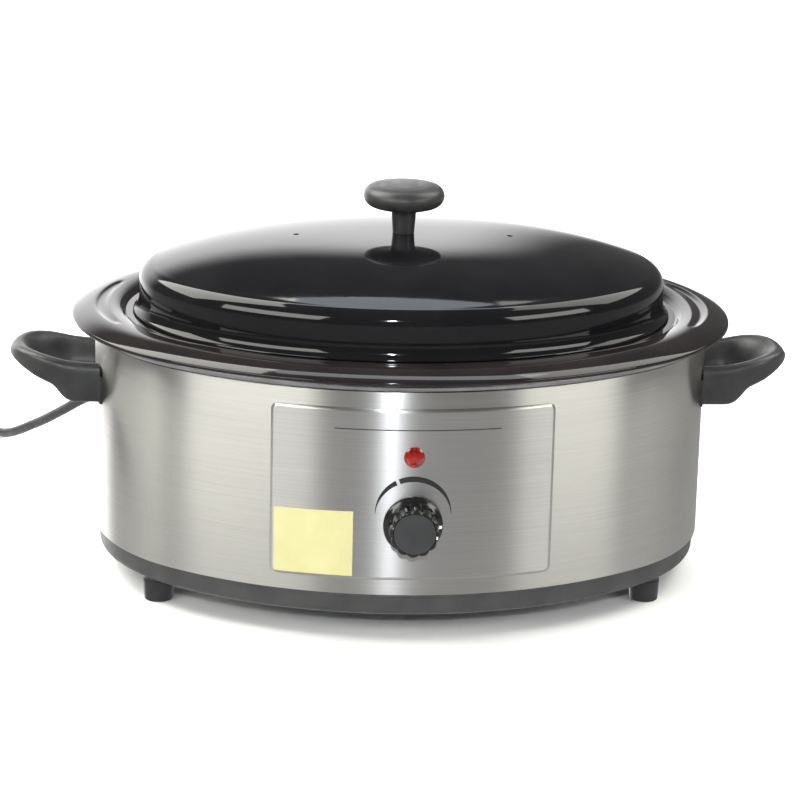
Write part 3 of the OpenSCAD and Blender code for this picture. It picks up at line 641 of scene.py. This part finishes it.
def both_sides(path, t):
    """A sheet's open outline: up one side of it, round its far end and back down the other."""
    pts = [Vector(p) for p in path]
    other = []
    for i, p in enumerate(pts):
        d = (pts[min(i + 1, len(pts) - 1)] - pts[max(i - 1, 0)]).normalized()
        other.append(p + Vector((-d.y, d.x)) * t)
    tip = (pts[0] + other[0]) / 2 + (pts[0] - pts[1]).normalized() * t * 0.4
    return [tuple(p) for p in [*reversed(pts), tip, *other]]


build("aluminised_liner", [oval_sweep(both_sides(liner_path, 1.0), caps=True, closed=False)],
      PAINTS["aluminised_liner"], replaces=["liner"], sharp=40)

# ---------------------------------------------------------------- pan
# The flange's crown is an arc about (CROWN_O, CROWN_Z) that ends in a rolled edge.
CROWN_R, CROWN_O, CROWN_Z = 32.0, -4.0, LEDGE_Z + 4.1 - 32.0
CROWN_EDGE_A = 59.5
EDGE_R = 1.4
CROWN_STEPS = [CROWN_EDGE_A, 61, 63, 66, 69, 72, 75, 77, 79, 81, 83, 84.5, 86, 87.5, 89, 90.5, 92, 93.5,
               95, 96.5, 98, 100, 102, 104, 106, 108, 109]
# The crescent pressed over each end: half its angle round the end, its middle, half its
# breadth on the crown and its depth.
PRESS_A, PRESS_MIDDLE, PRESS_HALF, PRESS_DEPTH = 27.0, 89.5, 8.5, 1.5


def pan_section(station):
    """The pan's section at a place round the oval, from the flange's edge to its floor."""
    cx, cy, _, a, _ = station
    press = 0.0
    if cy == 0:
        off = abs(((math.degrees(a) - (0 if cx > 0 else 180)) + 180) % 360 - 180)
        press = ease((PRESS_A - off) / 5.0)
        spread = 1 - 0.5 * (off / PRESS_A) ** 2 if off < PRESS_A else 0.5
    crown = []
    for angle in CROWN_STEPS:
        o = CROWN_O + CROWN_R * math.cos(math.radians(angle))
        z = CROWN_Z + CROWN_R * math.sin(math.radians(angle))
        if press:
            across = (angle - PRESS_MIDDLE) / (PRESS_HALF * spread)
            if abs(across) < 1:
                z -= PRESS_DEPTH * press * (1 - across * across) ** 1.5 * spread
        crown.append((o, z))
    edge_a = math.radians(CROWN_EDGE_A)
    edge = arc2(CROWN_O + (CROWN_R - EDGE_R) * math.cos(edge_a), CROWN_Z + (CROWN_R - EDGE_R) * math.sin(edge_a),
                EDGE_R, -120, 52, 9)
    ledge = rounded([(-14.42, 154.36), (-16.6, 152.5), (-17.6, LEDGE_Z), (-26.2, LEDGE_Z), (-27, 151.0),
                     (-27, 110)], [0, 0.9, 0.7, 0.7, 0.7, 0], closed=False, n=3)[1:]
    return both_sides([*edge, *crown, *ledge, *arc2(-49, 66, 22, 0, -90, 12), (-68, 44)], 1.2)


build("enamel_pan", [oval_sweep(pan_section, caps=True, closed=False)], PAINTS["pan_enamel"], body="pan",
      replaces=["insert_pan"], sharp=50)

# ---------------------------------------------------------------- lid
RIM_Z = 152.1
LID_TOP = RIM_Z + 45.5
LID_A, LID_RATIO = 150.0, 215 / 300
SHOULDER, WALL_Z = 10.4, RIM_Z + 18
DOME_A = LID_A - SHOULDER * (1 - math.cos(math.radians(78)))
DOME_Z = WALL_Z + SHOULDER * math.sin(math.radians(78))


def dome(s):
    """The domed top, where s runs from 0 at the middle to 1 at the shoulder."""
    return (s * DOME_A, DOME_Z + (LID_TOP - DOME_Z) * (1 - s ** 2.94))


# The rolled rim, the flare above it and the wall, as distances from (LID_A, RIM_Z).
lid_foot = [(2.4, 0.05), (3.3, 0.25), (3.6, 0.75), (3.4, 1.3), (2.85, 1.8), (2.1, 2.55), (1.35, 3.55),
            (0.8, 4.75), (0.35, 6.2), (0.08, 7.8), (0, 9.4), (0, 14)]
dome_steps = (99, 98, 96.5, 95, 93, 90, 87, 84, 80, 76, 71, 66, 60, 54, 48, 41, 34, 27, 20, 13, 7)
lid_path = [*[(LID_A + x, RIM_Z + z) for x, z in lid_foot], *arc2(LID_A - SHOULDER, WALL_Z, SHOULDER, 0, 76, 16),
            *[dome(s / 100) for s in dome_steps], (2.4, LID_TOP)]
LID_SIDES, LID_T = 160, 1.2
lid_section = sheet_outline(lid_path, LID_T)
lid_rows = []
for i in range(LID_SIDES):
    a = 2 * math.pi * i / LID_SIDES
    lid_rows.append([(r * math.cos(a), r * math.sin(a) * LID_RATIO, z) for r, z in lid_section])
lid = build("enamel_lid", [grid(lid_rows, loop_rows=True, loop_cols=True)], PAINTS["black_enamel"], body="lid",
            replaces=["lid_shell"], sharp=50)
cut(lid, [prism(circle(s * 61, 0, 1.7), 180, 200) for s in (-1, 1)])

# The lid's grip: a tapered stem under a mushroom head, as heights above the lid.
grip_path = [(0, 0.02), (6.1, 0.02), (6.15, 0.5), (6.3, 3), (6.6, 7), (6.95, 11), (7.3, 13.6), (8.4, 14.8),
             (12, 15.4), *arc2(16.9, 21.8, 6.1, -78, 64, 16), (15.6, 28.1), (11, 28.6), (6, 28.85), (0, 28.95)]
grip_path = [(r, LID_TOP + z) for r, z in grip_path]
build("lid_grip", [lathe(rounded(grip_path, 1.2, closed=False, n=3))], PAINTS["black_phenolic"], body="lid",
      replaces=["lid_knob"], sharp=50)

# ---------------------------------------------------------------- thermostat knob and lamp
GRIP_R, SKIRT_TOP = 13.6, 4.2
DIAL_Z, LAMP_Z = 68.5, 106.5


def flutes(r, a, z):
    """Twelve rounded scallops in the grip's side that fade out towards the skirt."""
    if r < 12.0:
        return r
    depth = 1.15 * ease((z - SKIRT_TOP) / 1.6)
    wave = abs(math.cos(6 * (a + math.radians(4))))
    return r - depth * (1 - wave) ** 1.1


grip_line = [(5.3, 0.8), (15.5, 0.8), (16.1, 1.0), (16.25, 1.5), (16.25, 2.3), (16.05, 2.85), (15.5, 3.2),
             (14.9, 3.5), (14.2, 3.9), (GRIP_R + 0.1, 4.3), (GRIP_R, 5.2), (GRIP_R, 8), (GRIP_R, 11),
             (GRIP_R, 14), (GRIP_R, 15.6), (GRIP_R - 0.15, 16.5), (GRIP_R - 0.6, 17.15),
             (GRIP_R - 1.2, 17.4), (11.7, 17.4), (11.5, 17.2), (11.5, 16.6), (0, 16.6)]
build("dial_knob", [moved(lathe(grip_line, 240, flutes), frontwards(DIAL_Z))], PAINTS["gloss_black"],
      body="knob", replaces=["control_knob"], sharp=40)
cap_line = [(0, 16.61), (11.35, 16.61), (11.35, 17.5), (11.15, 17.72), (10.8, 17.75), (10.4, 17.64),
            (10.1, 17.6), (9.8, 17.66), (5, 17.7), (0, 17.72)]
build("dial_cap", [moved(lathe(cap_line, 120), frontwards(DIAL_Z))], PAINTS["cap_grey"], body="knob",
      replaces=["knob_cap"], sharp=35)
# Two raised white marks, on the skirt and on the grip's face, each with its turn in degrees.
skirt_mark = [(14.0, 4.02), (14.5, 3.76), (15.1, 3.42), (15.6, 3.17)]
face_mark = [(11.75, 17.42), (12.3, 17.42), (12.62, 17.36)]
marks = []
for turn, mark in ((-2, skirt_mark), (-9, face_mark)):
    rows = [[(r, y, z + 0.03 + 0.05 * (abs(y) < 0.8)) for y in (-0.85, -0.75, 0.75, 0.85)] for r, z in mark]
    marks.append(moved(grid(rows), frontwards(DIAL_Z) @ Matrix.Rotation(math.radians(turn), 4, "Z")))
build("dial_pointer", marks, PAINTS["pointer_white"], body="knob", replaces=["knob_pointer"],
      sharp=50)

lens_line = [(4.1, -1), (4.1, 0.02), (5.6, 0.02), (5.75, 0.3), (5.6, 0.9), (5.15, 1.15), (4.9, 1.6),
             (4.3, 2.6), (3.2, 3.7), (1.7, 4.35), (0, 4.5)]


def facets(r, a, z):
    """Flat cut faces round the dome."""
    if z < 1.3:
        return r
    turn = (a % (math.pi / 4)) - math.pi / 8
    return r * (0.93 + 0.07 * math.cos(math.pi / 8) / math.cos(turn) - 0.03 * abs(math.sin(4 * a)))


build("lamp_lens", [moved(lathe(lens_line, 48, facets), frontwards(LAMP_Z))], PAINTS["red_lens"],
      replaces=["pilot_lens"], sharp=14)


# ---------------------------------------------------------------- print and label on the plate
def decal(name, rows, material, lift=0.04):
    """A film of ink or paper just off the plate; rows hold (x, z)."""
    build(name, [grid([[on_side(x, PLATE_T + lift, z) for x, z in row] for row in rows])], material)


ARC_Z, ARC_R = 73.5, 20.6


def range_arc(a0, a1, n=48):
    """Part of the printed arc over the dial, which is thickest at its top."""
    rows = []
    for i in range(n + 1):
        a = math.radians(a0 + (a1 - a0) * i / n)
        half = (0.25 + 2.9 * math.sin(a) ** 1.3) / 2
        rows.append([((ARC_R + o) * math.cos(a), ARC_Z + (ARC_R + o) * math.sin(a)) for o in (-half, 0, half)])
    return rows


decal("range_arc_high", range_arc(2, 112), PRINT)
decal("range_arc_low", range_arc(117, 178), PRINT)
decal("title_rule", [[(-43 + 90 * i / 40, z) for z in (121.2, 121.75)] for i in range(41)], PRINT)
LABEL_X, LABEL_Z, LABEL_W = -74.8, 37.85, 42.5
label_rows = [[(LABEL_X + LABEL_W * i / 16, z) for z in (LABEL_Z, 56, 74.3 + 0.6 * i / 16)] for i in range(17)]
decal("blank_label", label_rows, LABEL, lift=0.10)

# ---------------------------------------------------------------- feet
foot_line = [(4.2, 6), (4.2, 0.4), (4.5, 0.02), (7.4, 0.02), (7.9, 0.3), (8.05, 0.9), (8.6, 11.2),
             (8.5, 11.8), (8.0, 12.05), (8.0, 14), (2.2, 14), (2.2, 6), (4.2, 6)]
FOOT_X, FOOT_Y = 138, 64
foot_places = [Matrix.Translation((x, y, 0)) for x in (-FOOT_X, FOOT_X) for y in (-FOOT_Y, FOOT_Y)]
build("stub_feet", [moved(lathe(foot_line, 64), place) for place in foot_places],
      PAINTS["black_phenolic"], replaces=["feet"], sharp=40)

# ---------------------------------------------------------------- handles
# The upper and lower outline of a loop, as (distance past the wrap, height over its foot).
HANDLE_Z = 104.0
GRIP_TOP = [(-6, 22.8), (6, 23.4), (15, 24.6), (23, 26.4), (28, 27.6), (33, 28.6), (38, 29.2), (42, 29.1),
            (45, 28.3), (47.2, 26.8), (48.2, 25), (48.5, 23.4)]
GRIP_LOW = [(-6, 0), (9.5, 0), (12.5, 0.3), (15, 1.3), (17, 2.7), (19, 4.9), (21, 7.5), (22.4, 9.2),
            (24, 10.4), (27, 11.6), (30, 12.7), (33.5, 14), (37.5, 15.9), (41.5, 17.8), (45.5, 19.8),
            (47.8, 21.6), (48.5, 23.4)]
# Where the finger hole starts to open out like a dish, and the dish's slope.
DISH_Z, DISH_SLOPE = 118.0, 1.15
# The loop's outer and inner end arcs, as (centre's x, radius), and the radius of the foot.
LOOP_OUT, LOOP_IN, LOOP_FOOT_R = (192.5, 31.0), (187.0, 15.0), END_R + 0.9


def along(line, x):
    """Height of a line at x, with the ends held."""
    if x <= line[0][0]:
        return line[0][1]
    for (x0, z0), (x1, z1) in zip(line, line[1:]):
        if x <= x1:
            return z0 + (z1 - z0) * (x - x0) / (x1 - x0)
    return line[-1][1]


def grip_rows():
    """Sections across the loop, from the rear leg round the tip to the front leg."""
    sides = []
    for centre, radius in (LOOP_OUT, LOOP_IN):
        start = END_X + math.sqrt(LOOP_FOOT_R ** 2 - radius ** 2)
        leg = [(start + (centre - start) * i / 12, radius) for i in range(12)]
        tip = [(centre + x, y) for x, y in arc2(0, 0, radius, 90, -90, 48)]
        sides.append([*leg, *tip, *[(x, -y) for x, y in reversed(leg)]])
    stations = list(zip(*sides))
    rows = []
    for (ox, oy), (ix, iy) in stations:
        row = []
        for k in range(48):
            a = 2 * math.pi * k / 48
            c = math.copysign(abs(math.cos(a)) ** 0.5, math.cos(a))
            s = math.copysign(abs(math.sin(a)) ** 0.5, math.sin(a))
            t = (1 - c) / 2
            x, y = ox + (ix - ox) * t, oy + (iy - oy) * t
            low = HANDLE_Z + along(GRIP_LOW, x - HALF_L)
            top = HANDLE_Z + along(GRIP_TOP, x - HALF_L)
            dish = DISH_Z + DISH_SLOPE * (1 - t) * math.dist((ox, oy), (ix, iy))
            top = (top + dish - math.sqrt((top - dish) ** 2 + 9)) / 2 + 0.4
            row.append((x, y, low + max(top - low, 1.5) * (0.5 + 0.5 * s)))
        rows.append(row)
    return rows


for side, hand in ((1, "right"), (-1, "left")):
    rows = [[(side * x, y, z) for x, y, z in row] for row in grip_rows()]
    build(hand + "_grip", [grid(rows, loop_cols=True, caps=True)], PAINTS["black_phenolic"],
          replaces=[hand + "_handle"], sharp=50)

# ---------------------------------------------------------------- stage and light
floor_mesh = bpy.data.meshes.new("floor")
floor_mesh.from_pydata([(-6, -3, 0), (6, -3, 0), (6, 9, 0), (-6, 9, 0)], [], [(0, 1, 2, 3)])
floor = bpy.data.objects.new("floor", floor_mesh)
scene.collection.objects.link(floor)
floor_mesh.materials.append(grained("floor_paper", (0.93, 0.93, 0.93), (0.96, 0.96, 0.96), 0.7, 3, 0.0))
floor.visible_glossy = False

# The studio: a bright sweep behind and to the left, a dim room in front and above.
world = bpy.data.worlds.new("studio")
scene.world = world
world.use_nodes = True
sky = world.node_tree


def sky_node(kind, *links, **values):
    """A node of the sky with its inputs linked or set in order; gives its first output."""
    node = sky.nodes.new(kind)
    for key, value in values.items():
        setattr(node, key, value)
    for slot, source in enumerate(links):
        if isinstance(source, (int, float, tuple)):
            node.inputs[slot].default_value = source
        elif source is not None:
            sky.links.new(source, node.inputs[slot])
    return node.outputs[0]


def sky_span(value, a, b):
    """Rises smoothly from 0 to 1 as a value goes from a to b."""
    node = sky.nodes.new("ShaderNodeMapRange")
    node.interpolation_type = "SMOOTHSTEP"
    node.inputs["From Min"].default_value = a
    node.inputs["From Max"].default_value = b
    sky.links.new(value, node.inputs["Value"])
    return node.outputs[0]


direction = sky.nodes.new("ShaderNodeTexCoord").outputs["Generated"]
axes = sky.nodes.new("ShaderNodeSeparateXYZ")
sky.links.new(direction, axes.inputs[0])
sweep = sky_node("ShaderNodeMath", sky_span(axes.outputs["Z"], 0.52, 0.32),
                 sky_span(axes.outputs["X"], 0.20, 0.07), operation="MULTIPLY")
sweep = sky_node("ShaderNodeMath", sweep, sky_span(axes.outputs["Y"], 0.55, 0.85), operation="MULTIPLY")
ROOM, FLOOR_GLOW, SWEEP_GLOW = 0.15, 0.36, 2.1
ground = sky_node("ShaderNodeMath", sky_span(axes.outputs["Z"], 0.0, -0.12), FLOOR_GLOW, ROOM,
                  operation="MULTIPLY_ADD")
radiance = sky_node("ShaderNodeMath", sweep, SWEEP_GLOW, ground, operation="MULTIPLY_ADD")
sky.links.new(radiance, sky.nodes["Background"].inputs["Strength"])
sky.nodes["Background"].inputs["Color"].default_value = (1.0, 1.0, 1.0, 1)


def softbox(name, place, target, size, power, colour=(1, 1, 1)):
    """A rectangular light: places in metres, size as (width, height), power in watts."""
    data = bpy.data.lights.new(name, "AREA")
    data.shape = "RECTANGLE"
    data.size, data.size_y = size
    data.energy = power
    data.color = colour
    lamp = bpy.data.objects.new(name, data)
    place, target = Vector(place), Vector(target)
    turn = (target - place).to_track_quat("-Z", "Y").to_matrix().to_4x4()
    lamp.matrix_world = Matrix.Translation(place) @ turn
    scene.collection.objects.link(lamp)
    return lamp


HEATER = (0, 0, 0.1)
softbox("left_softbox", (-1.00, 0.38, 1.30), HEATER, (1.3, 1.3), 40, (1.0, 1.0, 0.92))
softbox("right_softbox", (1.00, 0.30, 1.28), HEATER, (1.15, 1.15), 17, (1.0, 1.0, 0.92))
softbox("left_front_softbox", (-1.30, -1.20, 0.88), HEATER, (1.4, 0.6), 20, (1.0, 1.0, 0.94))
softbox("right_front_softbox", (1.55, -1.15, 0.88), HEATER, (1.2, 0.6), 15, (1.0, 1.0, 0.94))
softbox("rear_panel", (0.10, 0.60, 1.75), HEATER, (0.95, 0.30), 3.6, (0.86, 0.91, 1.0))
softbox("flash", (-0.09, -1.70, 0.82), HEATER, (0.05, 0.05), 8, (0.90, 0.94, 1.0))
floor_fill = softbox("floor_fill", (0, 0.8, 2.6), (0, 0.8, 0), (4, 4), 80)
floor_fill.visible_glossy = False
